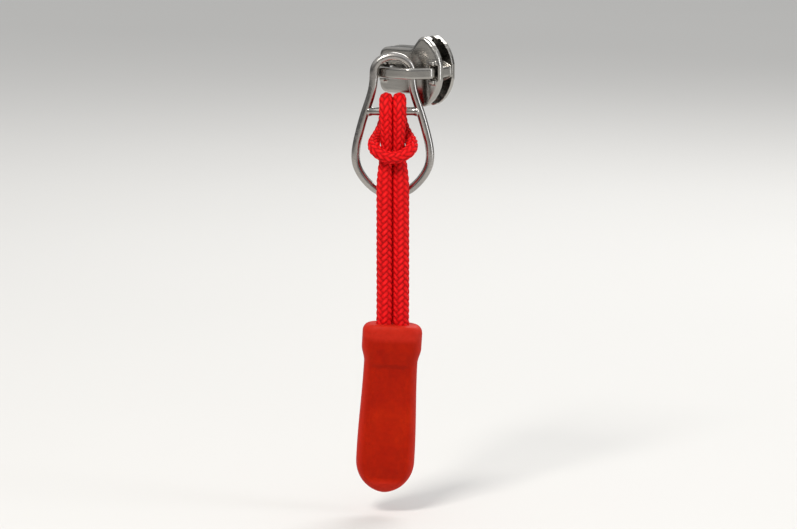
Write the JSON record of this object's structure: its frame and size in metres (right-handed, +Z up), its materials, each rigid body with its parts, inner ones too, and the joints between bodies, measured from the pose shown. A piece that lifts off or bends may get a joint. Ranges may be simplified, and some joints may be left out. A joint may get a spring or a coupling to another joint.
{
  "type": "zip pull tag",
  "caption": "Cord tag with a moulded grip, hitched to a wire bail on a zip slider, for opening a bag's zip or marking luggage.",
  "frame": {"origin": "middle of the slider's channel, where the zip's coil runs through", "axes": "+Z up with the tag hanging down, +X along the zip towards the slider's nose, +Y into the bag"},
  "size_m": [0.0134, 0.0164, 0.0809],
  "materials": {
    "nickel": "polished nickel plate over zinc casting",
    "nickel_wire": "nickel-plated steel wire",
    "spring_steel": "plain spring steel",
    "cord": "braided polyester cord",
    "ferrule": "crimped band",
    "grip_rubber": "matte soft moulding"
  },
  "bodies": {
    "slider": {"slider_body": "nickel", "slider_crown": "nickel"},
    "lock": {"lock_spring": "spring_steel"},
    "bail": {"wire_bail": "nickel_wire"},
    "cord": {"cord_hitch": "cord"},
    "grip_end": {"cord_tail_left": "cord", "cord_tail_right": "cord", "cord_ferrule": "ferrule", "grip": "grip_rubber"}
  },
  "joints": [
    {"name": "lock_lift", "type": "hinge", "parent": "slider", "child": "lock", "pos_m": [0.0024, -0.00615, 0], "axis": [0, 0, 1], "range_deg": [0, 4.4], "stiffness_Nm_per_rad": 0.002},
    {"name": "bail_swing", "type": "hinge", "parent": "slider", "child": "bail", "pos_m": [-0.0008, -0.00668, 0], "axis": [-1, 0, 0], "range_deg": [0, 100]},
    {"name": "hitch_swing", "type": "hinge", "parent": "bail", "child": "cord", "pos_m": [-0.0008, -0.00668, -0.0068], "axis": [-0.829, -0.5592, 0], "range_deg": [0, 105]},
    {"name": "cord_bend", "type": "hinge", "parent": "cord", "child": "grip_end", "pos_m": [0.00054, -0.00866, -0.033], "axis": [-0.829, -0.5592, 0], "range_deg": [-80, 80]}
  ]
}
